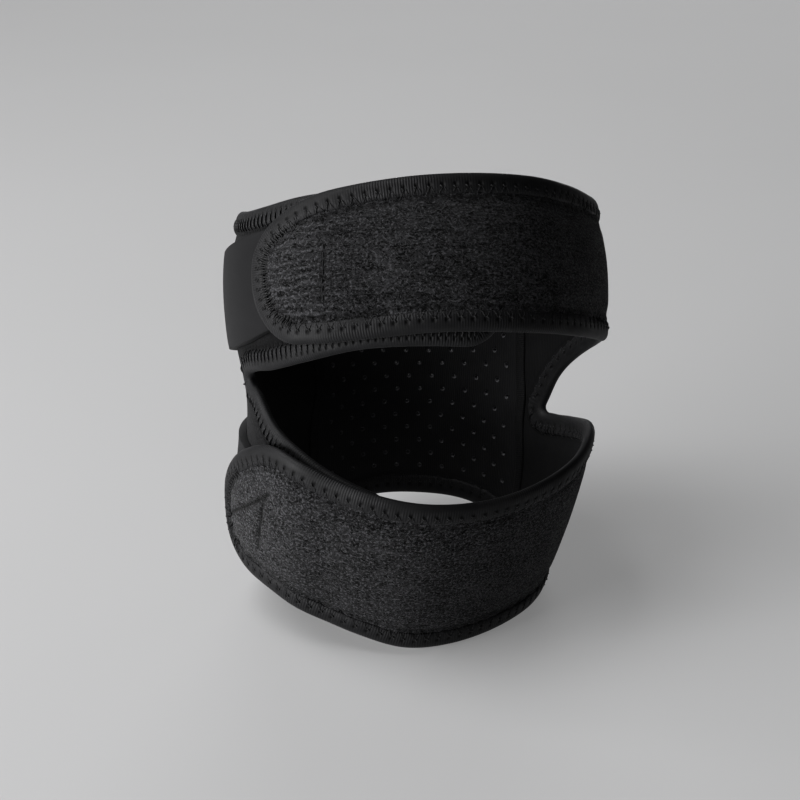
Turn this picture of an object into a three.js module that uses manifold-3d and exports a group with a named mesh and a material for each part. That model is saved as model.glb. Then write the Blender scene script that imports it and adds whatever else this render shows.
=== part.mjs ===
// Open-kneecap knee brace, closed as it is worn on a slightly bent knee and standing by itself.
// Millimetres and degrees, +Z up. The brace faces -Y. The origin is on the floor, under the middle of its box.
import * as THREE from "three";
import { mergeVertices } from "three/addons/utils/BufferGeometryUtils.js";
import Module from "manifold-3d";

const wasm = await Module();
wasm.setup();

// Cloth, tape and band thicknesses
const CLOTH = 2.6;
const TAPE = 0.5;
const BAND = 2.2;
const GAP = 0.3;
const TAPE_REACH = 5.5;
const TAPE_PROUD = GAP + TAPE;

// Climb of a cut edge whose tape is pressed flat on the floor
const FLOOR_EDGE = 0.95 * TAPE_PROUD;

// Lift of a strap's inner face off the leg where it lies over a wing, and over a fastening band on a wing
const OVER_WING = CLOTH + TAPE_PROUD + GAP + TAPE_PROUD;
const OVER_BAND = CLOTH + GAP + BAND + GAP + TAPE_PROUD;

// Place of the leg's axis on the floor
const AXIS_X = -0.14;
const AXIS_Y = -8.81;

// Facets: degrees in a column of cloth, columns round a rounded end, and the width of the rows beside an edge
const COLUMN_STEP = 10;
const END_COLUMNS = 5;
const BORDER = 7;

// Least cosine that a mitred corner of the tape is widened for, a small step for slopes, and the distance
// within which corners are one
const SHARPEST_MITRE = 0.8;
const SMALL = 0.05;
const WELD = 1e-4;

// Perforations of the back panel
const HOLE_RADIUS = 0.7;
const HOLE_SIDES = 5;
const HOLE_ROWS = 14;
const HOLES_IN_LONG_ROW = 9;
const HOLE_PITCH = 8;
const HOLE_ROW_PITCH = 4.6;
const HOLE_FIRST_ROW = 9.5;

// Rings of the inner face up the bent leg: climb along the leg's axis, backward lean of the ring, half width,
// half depth, shift to the side, and the angle of the right back seam. Angle 0 is the front, +90 the right.
const RINGS = [
  { climb: 0, lean: 0, halfWidth: 44.4, halfDepth: 45.6, shift: -4.2, seam: 126 },
  { climb: 23, lean: 0, halfWidth: 50.5, halfDepth: 51, shift: -2.6, seam: 131.5 },
  { climb: 40, lean: 2.5, halfWidth: 53, halfDepth: 54.5, shift: -0.5, seam: 137.5 },
  { climb: 52, lean: 7, halfWidth: 53.8, halfDepth: 56.5, shift: 1.4, seam: 140 },
  { climb: 65, lean: 14, halfWidth: 54.5, halfDepth: 58, shift: 2.2, seam: 142 },
  { climb: 84, lean: 24, halfWidth: 57.6, halfDepth: 59, shift: 1.6, seam: 143.5 },
  { climb: 105, lean: 29, halfWidth: 58.4, halfDepth: 59, shift: 1.2, seam: 144 },
  { climb: 127, lean: 30, halfWidth: 55, halfDepth: 57, shift: 0.9, seam: 144.5 },
];
const LEFT_SEAM = 218.5;

// Columns of the strap panel are named by their angle at the crotch's climb. They slant with the seam, less and
// less until SLANT_ENDS
const RIGHT_SEAM = 139.5;
const SLANT_ENDS = 90;

// Cut edges of each arm: the climb of its lower and upper edge and the lift of its inner face at an angle.
// Extra columns follow the edges closely where two arms part. Behind that, at their root, they lap and are one.
const ROOT_LAP = 1;
const STRAP_CROTCH = 129;
const STRAP_CROTCH_CLIMB = 49;
const STRAP_CROTCH_COLUMNS = [128.3, 126, 122.5, 116];
const UPPER_STRAP = {
  rowsAcross: 4,
  edges: [
    { angle: RIGHT_SEAM, low: STRAP_CROTCH_CLIMB - ROOT_LAP, high: 122.5, lift: 0 },
    { angle: 131, low: STRAP_CROTCH_CLIMB - ROOT_LAP, high: 123, lift: 0 },
    { angle: STRAP_CROTCH, low: STRAP_CROTCH_CLIMB, high: 123.2, lift: 0 },
    { angle: 128.3, low: 50.6, high: 123.3, lift: 0 },
    { angle: 122.5, low: 65, high: 123.9, lift: 0 },
    { angle: 116, low: 74, high: 124.6, lift: 0 },
    { angle: 96, low: 82.2, high: 125.8, lift: 0 },
    { angle: 82, low: 82.3, high: 125.8, lift: 0 },
    { angle: 68, low: 82.4, high: 124.6, lift: 0 },
    { angle: 50, low: 82.7, high: 123.8, lift: 0.4 * OVER_WING },
    { angle: 32, low: 82.9, high: 123.2, lift: OVER_WING },
    { angle: 3, low: 82.7, high: 121.5, lift: OVER_WING },
    { angle: -14, low: 81.5, high: 119.6, lift: OVER_WING },
    { angle: -27, low: 80.6, high: 117.4, lift: OVER_BAND },
    { angle: -52, low: 80.4, high: 115, lift: OVER_BAND },
  ],
  ends: [{ angle: -50, low: 95, high: 98, lowFrom: -35, highFrom: -23 }],
};
const LOWER_STRAP = {
  rowsAcross: 5,
  edges: [
    { angle: RIGHT_SEAM, low: 4, high: STRAP_CROTCH_CLIMB, lift: 0 },
    { angle: 131, low: 1.2, high: STRAP_CROTCH_CLIMB, lift: 0 },
    { angle: STRAP_CROTCH, low: FLOOR_EDGE, high: STRAP_CROTCH_CLIMB, lift: 0 },
    { angle: 128.3, low: FLOOR_EDGE, high: 47.6, lift: 0 },
    { angle: 122.5, low: FLOOR_EDGE, high: 47.2, lift: 0 },
    { angle: 112, low: FLOOR_EDGE, high: 49.6, lift: 0 },
    { angle: 90, low: FLOOR_EDGE, high: 54, lift: 0 },
    { angle: 65, low: FLOOR_EDGE, high: 51, lift: 0 },
    { angle: 42, low: FLOOR_EDGE, high: 48.6, lift: 0 },
    { angle: 20, low: FLOOR_EDGE, high: 47.7, lift: 0.4 * OVER_WING },
    { angle: 0, low: 2.4, high: 48.7, lift: OVER_WING },
    { angle: -15, low: 6.3, high: 50.6, lift: OVER_WING },
    { angle: -26, low: 9.2, high: 52.6, lift: OVER_WING },
    { angle: -37, low: 12.5, high: 55.5, lift: OVER_BAND },
    { angle: -49, low: 15.4, high: 57.8, lift: OVER_BAND },
    { angle: -62, low: 16.5, high: 57.8, lift: OVER_BAND },
    { angle: -84, low: 16.5, high: 57.8, lift: OVER_BAND },
  ],
  ends: [{ angle: -81, low: 28, high: 34, lowFrom: -55, highFrom: -41 }],
};

const WING_FORK = -74;
const WING_FORK_CLIMB = 71;
const WING_FORK_COLUMNS = [-73.2, -70, -67, -63, -58];
const UPPER_WING = {
  rowsAcross: 5,
  edges: [
    { angle: LEFT_SEAM - 360, low: WING_FORK_CLIMB - ROOT_LAP, high: 119.5, lift: 0 },
    { angle: -105, low: WING_FORK_CLIMB - ROOT_LAP, high: 122, lift: 0 },
    { angle: -84, low: WING_FORK_CLIMB - ROOT_LAP, high: 122, lift: 0 },
    { angle: -76, low: WING_FORK_CLIMB - ROOT_LAP, high: 120.5, lift: 0 },
    { angle: WING_FORK, low: WING_FORK_CLIMB, high: 120.1, lift: 0 },
    { angle: -73.2, low: 72.2, high: 119.9, lift: 0 },
    { angle: -67, low: 73.8, high: 118.8, lift: 0 },
    { angle: -54, low: 74.7, high: 118, lift: 0 },
    { angle: -38, low: 76.8, high: 118.5, lift: 0 },
    { angle: -16, low: 79.6, high: 118.6, lift: 0 },
    { angle: 30, low: 79.8, high: 118.6, lift: 0 },
  ],
  ends: [{ angle: 26, low: 94, high: 104, lowFrom: 13, highFrom: 13 }],
};
const LOWER_WING = {
  rowsAcross: 6,
  edges: [
    { angle: LEFT_SEAM - 360, low: 4, high: WING_FORK_CLIMB, lift: 0 },
    { angle: -130, low: FLOOR_EDGE, high: WING_FORK_CLIMB, lift: 0 },
    { angle: -94, low: FLOOR_EDGE, high: WING_FORK_CLIMB, lift: 0 },
    { angle: -76, low: 7.6, high: WING_FORK_CLIMB, lift: 0 },
    { angle: WING_FORK, low: 8, high: WING_FORK_CLIMB, lift: 0 },
    { angle: -73.2, low: 8, high: 69.8, lift: 0 },
    { angle: -67, low: 9, high: 67.8, lift: 0 },
    { angle: -58, low: 9.4, high: 61.6, lift: 0 },
    { angle: -41, low: 9.4, high: 56, lift: 0 },
    { angle: -24, low: 8, high: 51.6, lift: 0 },
    { angle: -2, low: 6, high: 47, lift: 0 },
  ],
  ends: [{ angle: -4, low: 22, high: 32, lowFrom: -15, highFrom: -15 }],
};

// Fastening bands on the wings, with both ends rounded
const BAND_LIFT = CLOTH + GAP;
const UPPER_BAND = {
  rowsAcross: 4,
  edges: [
    { angle: -124, low: 78.5, high: 108, lift: BAND_LIFT },
    { angle: -90, low: 79, high: 109, lift: BAND_LIFT },
    { angle: -63, low: 80.6, high: 109.5, lift: BAND_LIFT },
    { angle: -45, low: 84, high: 110, lift: BAND_LIFT },
    { angle: -29, low: 86.5, high: 110, lift: BAND_LIFT },
  ],
  ends: [
    { angle: -124, low: 86, high: 100, lowFrom: -114, highFrom: -114 },
    { angle: -29, low: 92, high: 102, lowFrom: -37, highFrom: -37 },
  ],
};
const LOWER_BAND = {
  rowsAcross: 5,
  edges: [
    { angle: -124, low: 22, high: 52.5, lift: BAND_LIFT },
    { angle: -72, low: 22, high: 52.5, lift: BAND_LIFT },
    { angle: -42, low: 22, high: 48, lift: BAND_LIFT },
  ],
  ends: [
    { angle: -124, low: 30, high: 45, lowFrom: -114, highFrom: -114 },
    { angle: -42, low: 30, high: 40, lowFrom: -50, highFrom: -50 },
  ],
};

// Back panel: climb of its arched lower edge and of its upper edge, at shares of its width from right to left
const BACK_EDGES = [
  { share: 0, low: 4, high: 122.5 },
  { share: 0.25, low: 7.8, high: 121.8 },
  { share: 0.5, low: 8.3, high: 121 },
  { share: 0.75, low: 7.8, high: 120.2 },
  { share: 1, low: 4, high: 119.5 },
];
const BACK_COLUMNS = 8;
const BACK_ROWS = 5;

// Looks of the black cloth, the bound edges and the smooth bands
const CLOTH_LOOK = { color: 0x26262a, roughness: 0.95, metalness: 0 };
const TAPE_LOOK = { color: 0x303034, roughness: 0.8, metalness: 0 };
const BAND_LOOK = { color: 0x2b2b2f, roughness: 0.7, metalness: 0 };

const radians = THREE.MathUtils.degToRad;

// A smooth curve through a table's rows, read along one column
function smoothTable(rows, along, names) {
  const order = [...rows].sort((a, b) => a[along] - b[along]);
  const places = order.map((row) => row[along]);
  const values = order.flatMap((row) => names.map((name) => row[name]));
  const curve = new THREE.CubicInterpolant(places, values, names.length);
  return (place) => {
    const found = curve.evaluate(place);
    return Object.fromEntries(names.map((name, index) => [name, found[index]]));
  };
}

const ringAt = smoothTable(RINGS, "climb", ["lean", "halfWidth", "halfDepth", "shift", "seam"]);

// The leg's axis, walked up in steps of one millimetre to a little above the top ring
const AXIS_STEPS = 140;
const AXIS = [{ y: 0, z: 0 }];
for (let climb = 0; climb < AXIS_STEPS; climb++) {
  const lean = radians(ringAt(climb + 0.5).lean);
  const last = AXIS[climb];
  AXIS.push({ y: last.y + Math.sin(lean), z: last.z + Math.cos(lean) });
}

function axisAt(climb) {
  const step = Math.floor(climb);
  const share = climb - step;
  return {
    y: THREE.MathUtils.lerp(AXIS[step].y, AXIS[step + 1].y, share),
    z: THREE.MathUtils.lerp(AXIS[step].z, AXIS[step + 1].z, share),
  };
}

// A point beside the leg: angle round it, climb up it, and offset outwards from the inner face
function legPoint(angle, climb, offset) {
  const ring = ringAt(climb);
  const axis = axisAt(climb);
  const turn = radians(angle);
  const lean = radians(ring.lean);
  const outward = new THREE.Vector2(Math.sin(turn) / ring.halfWidth, Math.cos(turn) / ring.halfDepth);
  outward.normalize();
  const side = ring.halfWidth * Math.sin(turn) + offset * outward.x;
  const front = ring.halfDepth * Math.cos(turn) + offset * outward.y;
  const x = AXIS_X + ring.shift + side;
  const y = AXIS_Y + axis.y - front * Math.cos(lean);
  return new THREE.Vector3(x, y, axis.z + front * Math.sin(lean));
}

// Quarter-ellipse rounding of an edge towards an arm's end
function roundedEdge(straight, tip, from, end, angle) {
  const share = (angle - from) / (end - from);
  if (share <= 0) return straight;
  return tip + (straight - tip) * Math.sqrt(Math.max(0, 1 - share * share));
}

// The edges of an arm at an angle, with the lower one no lower than the tape on the floor lets it lie
function armReader(arm) {
  const read = smoothTable(arm.edges, "angle", ["low", "high", "lift"]);
  return (angle) => {
    const edges = read(angle);
    edges.low = Math.max(edges.low, FLOOR_EDGE);
    for (const end of arm.ends) {
      edges.low = roundedEdge(edges.low, end.low, end.lowFrom, end.angle, angle);
      edges.high = roundedEdge(edges.high, end.high, end.highFrom, end.angle, angle);
    }
    return edges;
  };
}

// The angles of an arm's columns, from left to right: even ones, closer together round an end
function armColumns(arm, root, corners) {
  const angles = [...root];
  let left = -Infinity;
  let right = Infinity;
  for (const end of arm.ends) {
    const toLeft = end.angle < end.lowFrom;
    const from = toLeft ? Math.max(end.lowFrom, end.highFrom) : Math.min(end.lowFrom, end.highFrom);
    for (let k = 0; k <= END_COLUMNS; k++) {
      angles.push(from + (end.angle - from) * Math.sin((Math.PI / 2) * (k / END_COLUMNS)));
    }
    if (toLeft) left = from;
    else right = from;
  }
  angles.push(...corners);
  const first = Math.max(left, Math.min(...angles));
  const last = Math.min(right, Math.max(...angles));
  const taken = [...angles];
  for (let angle = Math.ceil(first / COLUMN_STEP) * COLUMN_STEP; angle < last; angle += COLUMN_STEP) {
    if (taken.every((other) => Math.abs(other - angle) > COLUMN_STEP / 3)) angles.push(angle);
  }
  return angles.sort((a, b) => a - b);
}

// A strip of cloth: a box of columns, rows and two faces, bent round the leg by a placing function
function sheet(columns, rows, place) {
  const geometry = new THREE.BoxGeometry(1, 1, 1, columns.length - 1, rows, 1);
  geometry.deleteAttribute("normal");
  geometry.deleteAttribute("uv");
  const points = geometry.attributes.position;
  for (let i = 0; i < points.count; i++) {
    const column = columns[Math.round((points.getX(i) + 0.5) * (columns.length - 1))];
    const point = place(column, points.getY(i) + 0.5, points.getZ(i) + 0.5);
    points.setXYZ(i, point.x, point.y, point.z);
  }
  return mergeVertices(geometry, WELD);
}

// The right back seam slants, and the columns of the strap panel beside it follow
function strapAngle(column, climb) {
  const share = THREE.MathUtils.clamp((column - SLANT_ENDS) / (STRAP_CROTCH - SLANT_ENDS), 0, 1);
  return column + share * (ringAt(climb).seam - RIGHT_SEAM);
}

function wingAngle(column) {
  return column;
}

// Cloth of an arm: a narrow row beside each edge, and even rows between them
function armSheet(arm, columns, angleAt, thickness) {
  const read = armReader(arm);
  return sheet(columns, arm.rowsAcross, (column, across, through) => {
    const { low, high, lift } = read(column);
    const border = Math.min(BORDER, (high - low) / arm.rowsAcross);
    const row = Math.round(across * arm.rowsAcross);
    const share = THREE.MathUtils.clamp((row - 1) / (arm.rowsAcross - 2), 0, 1);
    let climb = THREE.MathUtils.lerp(low + border, high - border, share);
    if (row === 0) climb = low;
    if (row === arm.rowsAcross) climb = high;
    return legPoint(angleAt(column, climb), climb, lift + through * thickness);
  });
}

// Solids for cutting and joining, and back
function toSolid(geometry) {
  const mesh = new wasm.Mesh({
    numProp: 3,
    vertProperties: new Float32Array(geometry.attributes.position.array),
    triVerts: new Uint32Array(geometry.index.array),
  });
  return new wasm.Manifold(mesh);
}

function toGeometry(solid) {
  const mesh = solid.getMesh();
  const geometry = new THREE.BufferGeometry();
  geometry.setAttribute("position", new THREE.BufferAttribute(new Float32Array(mesh.vertProperties), 3));
  geometry.setIndex(new THREE.BufferAttribute(new Uint32Array(mesh.triVerts), 1));
  return geometry;
}

// The U section of the tape: reach inwards from the cut edge, and offset from the cloth's inner face
function tapeSection() {
  const inner = -GAP;
  const outer = CLOTH + GAP;
  const section = new THREE.Shape();
  section.moveTo(TAPE_REACH, outer);
  section.lineTo(TAPE_REACH, outer + TAPE);
  section.lineTo(-TAPE_PROUD, outer + TAPE);
  section.lineTo(-TAPE_PROUD, inner - TAPE);
  section.lineTo(TAPE_REACH, inner - TAPE);
  section.lineTo(TAPE_REACH, inner);
  section.lineTo(-GAP, inner);
  section.lineTo(-GAP, outer);
  return section;
}

// The inward direction of an edge at a stop on its path, as degrees and climb for each millimetre
function inwardStep(path, index) {
  const here = path[index];
  const before = path[Math.max(0, index - 1)];
  const after = path[Math.min(path.length - 1, index + 1)];
  const at = (stop) => legPoint(stop.angle, stop.climb, here.lift);
  const point = at(here);
  const perDegree = legPoint(here.angle + SMALL, here.climb, here.lift).sub(point).divideScalar(SMALL);
  const perClimb = legPoint(here.angle, here.climb + SMALL, here.lift).sub(point).divideScalar(SMALL);
  const arriving = at(here).sub(at(before)).normalize();
  const leaving = at(after).sub(at(here)).normalize();
  if (index === 0) arriving.copy(leaving);
  if (index === path.length - 1) leaving.copy(arriving);
  const forward = arriving.clone().add(leaving).normalize();
  const normal = perDegree.clone().cross(perClimb).normalize();
  const inward = normal.cross(forward).normalize();
  inward.divideScalar(Math.max(SHARPEST_MITRE, forward.dot(arriving)));
  const aa = perDegree.dot(perDegree);
  const ab = perDegree.dot(perClimb);
  const bb = perClimb.dot(perClimb);
  const area = aa * bb - ab * ab;
  const ia = inward.dot(perDegree);
  const ib = inward.dot(perClimb);
  return { angle: (ia * bb - ib * ab) / area, climb: (ib * aa - ia * ab) / area };
}

// Tape folded over a cut edge. The path keeps the cloth on its left, seen from outside
function tape(path) {
  const steps = path.length - 1;
  const geometry = new THREE.ExtrudeGeometry(tapeSection(), { depth: steps, steps, bevelEnabled: false });
  geometry.deleteAttribute("normal");
  geometry.deleteAttribute("uv");
  const inward = path.map((stop, index) => inwardStep(path, index));
  const points = geometry.attributes.position;
  for (let i = 0; i < points.count; i++) {
    const index = Math.round(points.getZ(i));
    const reach = points.getX(i);
    const { angle, climb, lift, liftPerDegree } = path[index];
    const turned = inward[index].angle * reach;
    const climbed = Math.max(0, climb + inward[index].climb * reach);
    const point = legPoint(angle + turned, climbed, lift + turned * liftPerDegree + points.getY(i));
    points.setXYZ(i, point.x, point.y, point.z);
  }
  return mergeVertices(geometry, WELD);
}

// Stops along an arm's upper or lower edge, from left to right
function edgePath(arm, columns, angleAt, edge) {
  const read = armReader(arm);
  return columns.map((column) => {
    const edges = read(column);
    const climb = edges[edge];
    const rise = read(column + SMALL).lift - edges.lift;
    return { angle: angleAt(column, climb), climb, lift: edges.lift, liftPerDegree: rise / SMALL };
  });
}

// A named piece with flat facets
function piece(name, geometry, look) {
  const faceted = geometry.toNonIndexed();
  faceted.computeVertexNormals();
  const mesh = new THREE.Mesh(faceted, new THREE.MeshStandardMaterial(look));
  mesh.name = name;
  return mesh;
}

const brace = new THREE.Group();
const seamGap = THREE.MathUtils.radToDeg(GAP / RINGS[0].halfWidth);

// Strap panel: two long straps from one root at the right back seam
const strapRoot = [RIGHT_SEAM - seamGap, STRAP_CROTCH];
const upperStrapColumns = armColumns(UPPER_STRAP, strapRoot, STRAP_CROTCH_COLUMNS);
const lowerStrapColumns = armColumns(LOWER_STRAP, strapRoot, STRAP_CROTCH_COLUMNS);
const upperStrap = toSolid(armSheet(UPPER_STRAP, upperStrapColumns, strapAngle, CLOTH));
const lowerStrap = toSolid(armSheet(LOWER_STRAP, lowerStrapColumns, strapAngle, CLOTH));
brace.add(piece("strap_panel", toGeometry(upperStrap.add(lowerStrap)), CLOTH_LOOK));

// Wing panel: two short wings from one root at the left back seam
const wingRoot = [LEFT_SEAM - 360 + seamGap, WING_FORK];
const upperWingColumns = armColumns(UPPER_WING, wingRoot, WING_FORK_COLUMNS);
const lowerWingColumns = armColumns(LOWER_WING, wingRoot, WING_FORK_COLUMNS);
const upperWing = toSolid(armSheet(UPPER_WING, upperWingColumns, wingAngle, CLOTH));
const lowerWing = toSolid(armSheet(LOWER_WING, lowerWingColumns, wingAngle, CLOTH));
brace.add(piece("wing_panel", toGeometry(upperWing.add(lowerWing)), CLOTH_LOOK));

// Fastening bands
function band(name, arm) {
  const columns = armColumns(arm, [], []);
  brace.add(piece(name, armSheet(arm, columns, wingAngle, BAND), BAND_LOOK));
}
band("fastening_band_upper", UPPER_BAND);
band("fastening_band_lower", LOWER_BAND);

// Back panel with its perforations
const backEdges = smoothTable(BACK_EDGES, "share", ["low", "high"]);
function backAngle(share, climb) {
  return THREE.MathUtils.lerp(ringAt(climb).seam + seamGap, LEFT_SEAM - seamGap, share);
}
const backColumns = Array.from({ length: BACK_COLUMNS + 1 }, (none, index) => index / BACK_COLUMNS);
const backSheet = sheet(backColumns, BACK_ROWS, (share, across, through) => {
  const edges = backEdges(share);
  const climb = THREE.MathUtils.lerp(edges.low, edges.high, across);
  return legPoint(backAngle(share, climb), climb, through * CLOTH);
});

// The climb that lies a distance up the middle of the back panel from its lower edge
function backClimb(distance) {
  const start = backEdges(0.5).low;
  let climb = start;
  let walked = 0;
  while (walked < distance) {
    const step = legPoint(180, climb + SMALL, 0).distanceTo(legPoint(180, climb, 0));
    walked += step;
    climb += SMALL;
  }
  return climb;
}

function perforated(panel) {
  const up = new THREE.Vector3(0, 1, 0);
  let cut = panel;
  for (let row = 0; row < HOLE_ROWS; row++) {
    const climb = backClimb(HOLE_FIRST_ROW + row * HOLE_ROW_PITCH);
    const count = HOLES_IN_LONG_ROW - (row % 2);
    const width = legPoint(backAngle(0, climb), climb, 0).distanceTo(legPoint(backAngle(1, climb), climb, 0));
    const span = radians(backAngle(1, climb) - backAngle(0, climb));
    const arc = (width * span) / (2 * Math.sin(span / 2));
    for (let column = 0; column < count; column++) {
      const share = 0.5 + ((column - (count - 1) / 2) * HOLE_PITCH) / arc;
      const angle = backAngle(share, climb);
      const inside = legPoint(angle, climb, -CLOTH);
      const outside = legPoint(angle, climb, 2 * CLOTH);
      const along = outside.clone().sub(inside);
      const punch = new THREE.CylinderGeometry(HOLE_RADIUS, HOLE_RADIUS, along.length(), HOLE_SIDES);
      punch.deleteAttribute("normal");
      punch.deleteAttribute("uv");
      punch.applyQuaternion(new THREE.Quaternion().setFromUnitVectors(up, along.normalize()));
      const middle = inside.add(outside).multiplyScalar(0.5);
      punch.translate(middle.x, middle.y, middle.z);
      cut = cut.subtract(toSolid(mergeVertices(punch, WELD)));
    }
  }
  return cut;
}
brace.add(piece("back_panel", toGeometry(perforated(toSolid(backSheet))), CLOTH_LOOK));

// Tape over the edges of the straps, one length from seam to seam by way of both ends and the crotch
const pastCrotch = (column) => column <= STRAP_CROTCH;
const strapPath = [
  ...edgePath(UPPER_STRAP, upperStrapColumns, strapAngle, "high").reverse(),
  ...edgePath(UPPER_STRAP, upperStrapColumns.filter(pastCrotch), strapAngle, "low"),
  ...edgePath(LOWER_STRAP, lowerStrapColumns.filter(pastCrotch), strapAngle, "high").reverse().slice(1),
  ...edgePath(LOWER_STRAP, lowerStrapColumns, strapAngle, "low"),
];
brace.add(piece("strap_binding", tape(strapPath), TAPE_LOOK));

// Tape over the edges of the wings, one length from seam to seam by way of the fork
const pastFork = (column) => column >= WING_FORK;
const wingPath = [
  ...edgePath(LOWER_WING, lowerWingColumns, wingAngle, "low"),
  ...edgePath(LOWER_WING, lowerWingColumns.filter(pastFork), wingAngle, "high").reverse(),
  ...edgePath(UPPER_WING, upperWingColumns.filter(pastFork), wingAngle, "low").slice(1),
  ...edgePath(UPPER_WING, upperWingColumns, wingAngle, "high").reverse(),
];
brace.add(piece("wing_binding", tape(wingPath), TAPE_LOOK));

// Tape over the two free edges of the back panel
function backPath(edge) {
  return backColumns.map((share) => {
    const climb = backEdges(share)[edge];
    return { angle: backAngle(share, climb), climb, lift: 0, liftPerDegree: 0 };
  });
}
brace.add(piece("back_binding_bottom", tape(backPath("low")), TAPE_LOOK));
brace.add(piece("back_binding_top", tape(backPath("high").reverse()), TAPE_LOOK));

export default brace;
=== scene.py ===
# Open-kneecap knee brace, closed as it is worn and standing by itself: its cloth, tape, thread and light.
# Shapes are worked out in millimetres and degrees round the leg, and placed in metres.
import math
from bisect import bisect_right
from collections import namedtuple

import bmesh
import bpy
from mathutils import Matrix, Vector, noise
from mathutils.kdtree import KDTree


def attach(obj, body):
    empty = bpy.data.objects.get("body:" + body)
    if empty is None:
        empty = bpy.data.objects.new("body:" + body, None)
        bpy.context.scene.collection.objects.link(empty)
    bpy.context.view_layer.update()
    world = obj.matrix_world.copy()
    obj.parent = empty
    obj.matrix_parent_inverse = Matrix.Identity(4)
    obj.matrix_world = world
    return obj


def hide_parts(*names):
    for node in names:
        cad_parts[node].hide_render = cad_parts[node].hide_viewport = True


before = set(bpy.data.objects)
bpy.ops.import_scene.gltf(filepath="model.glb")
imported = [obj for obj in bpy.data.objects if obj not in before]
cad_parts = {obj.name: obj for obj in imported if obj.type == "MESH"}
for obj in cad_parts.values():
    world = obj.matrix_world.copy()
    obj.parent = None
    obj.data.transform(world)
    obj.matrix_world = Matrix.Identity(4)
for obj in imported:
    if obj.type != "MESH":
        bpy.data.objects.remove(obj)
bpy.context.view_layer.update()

MM = 0.001

# Cloth and band thicknesses, and the least climb of a cut edge whose tape stands on the floor
CLOTH = 2.6
BAND = 2.2
FLOOR_EDGE = 0.76

# Lift of an inner face off the leg: a band on a wing, a strap over a wing, a strap over a band
BAND_LIFT = 2.9
OVER_WING = 4.5
OVER_BAND = 6.2

# Place of the leg's axis on the floor
AXIS_X = -0.14
AXIS_Y = -8.81

# Rings of the inner face up the bent leg: climb, lean, half width, half depth, shift to the right, and angle
# of the right back seam. Angle 0 is the front and +90 the right
RINGS = [
    (0, 0, 44.4, 45.6, -4.2, 126),
    (23, 0, 50.5, 51, -2.6, 131.5),
    (40, 2.5, 53, 54.5, -0.5, 137.5),
    (52, 7, 53.8, 56.5, 1.4, 140),
    (65, 14, 54.5, 58, 2.2, 142),
    (84, 24, 57.6, 59, 1.6, 143.5),
    (105, 29, 58.4, 59, 1.2, 144),
    (127, 30, 55, 57, 0.9, 144.5),
]

# Angles of the back seams, and the angle at which the right seam's slant has died out of the strap panel
LEFT_SEAM = -141.5
RIGHT_SEAM = 139.5
SLANT_ENDS = 90

# Radii that turn degrees into millimetres: for cloth laid flat, at the back seams and on the strap ends
FLAT_RADIUS = 57
SEAM_RADIUS = 55
STRAP_END_RADIUS = 60

# Cut edges of each arm: angle, climb of the lower and upper edge, lift of the inner face. Two arms part at a
# fork and are one behind it. A rounded end: angle and climbs of its tip, and the angles from which each edge
# rounds off
Fork = namedtuple("Fork", "angle climb")
STRAP_CROTCH = Fork(129, 49)
WING_FORK = Fork(-74, 71)
End = namedtuple("End", "angle low high low_from high_from")
UPPER_STRAP = [
    (RIGHT_SEAM, 49, 122.5, 0),
    (131, 49, 123, 0),
    (129, 49, 123.2, 0),
    (128.3, 50.6, 123.3, 0),
    (122.5, 65, 123.9, 0),
    (116, 74, 124.6, 0),
    (96, 82.2, 125.8, 0),
    (82, 82.3, 125.8, 0),
    (68, 82.4, 124.6, 0),
    (50, 82.7, 123.8, 0.4 * OVER_WING),
    (32, 82.9, 123.2, OVER_WING),
    (3, 82.7, 121.5, OVER_WING),
    (-14, 81.5, 119.6, OVER_WING),
    (-27, 80.6, 117.4, OVER_BAND),
    (-52, 80.4, 115, OVER_BAND),
]
UPPER_STRAP_ENDS = [End(-50, 95, 98, -35, -23)]
LOWER_STRAP = [
    (RIGHT_SEAM, 4, 49, 0),
    (131, 1.2, 49, 0),
    (129, FLOOR_EDGE, 49, 0),
    (128.3, FLOOR_EDGE, 47.6, 0),
    (122.5, FLOOR_EDGE, 47.2, 0),
    (112, FLOOR_EDGE, 49.6, 0),
    (90, FLOOR_EDGE, 54, 0),
    (65, FLOOR_EDGE, 51, 0),
    (42, FLOOR_EDGE, 48.6, 0),
    (20, FLOOR_EDGE, 47.7, 0.4 * OVER_WING),
    (0, 2.4, 48.7, OVER_WING),
    (-15, 6.3, 50.6, OVER_WING),
    (-26, 9.2, 52.6, OVER_WING),
    (-37, 12.5, 55.5, OVER_BAND),
    (-49, 15.4, 57.8, OVER_BAND),
    (-62, 16.5, 57.8, OVER_BAND),
    (-84, 16.5, 57.8, OVER_BAND),
]
LOWER_STRAP_ENDS = [End(-81, 28, 34, -55, -41)]
BETWEEN_STRAPS = 70
UPPER_WING = [
    (LEFT_SEAM, 71, 119.5, 0),
    (-105, 71, 122, 0),
    (-84, 71, 122, 0),
    (-76, 71, 120.5, 0),
    (-74, 71, 120.1, 0),
    (-73.2, 72.2, 119.9, 0),
    (-67, 73.8, 118.8, 0),
    (-54, 74.7, 118, 0),
    (-38, 76.8, 118.5, 0),
    (-16, 79.6, 118.6, 0),
    (30, 79.8, 118.6, 0),
]
UPPER_WING_ENDS = [End(26, 94, 104, 13, 13)]
LOWER_WING = [
    (LEFT_SEAM, 4, 71, 0),
    (-130, FLOOR_EDGE, 71, 0),
    (-94, FLOOR_EDGE, 71, 0),
    (-76, 7.6, 71, 0),
    (-74, 8, 71, 0),
    (-73.2, 8, 69.8, 0),
    (-67, 9, 67.8, 0),
    (-58, 9.4, 61.6, 0),
    (-41, 9.4, 56, 0),
    (-24, 8, 51.6, 0),
    (-2, 6, 47, 0),
]
LOWER_WING_ENDS = [End(-4, 22, 32, -15, -15)]
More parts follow.
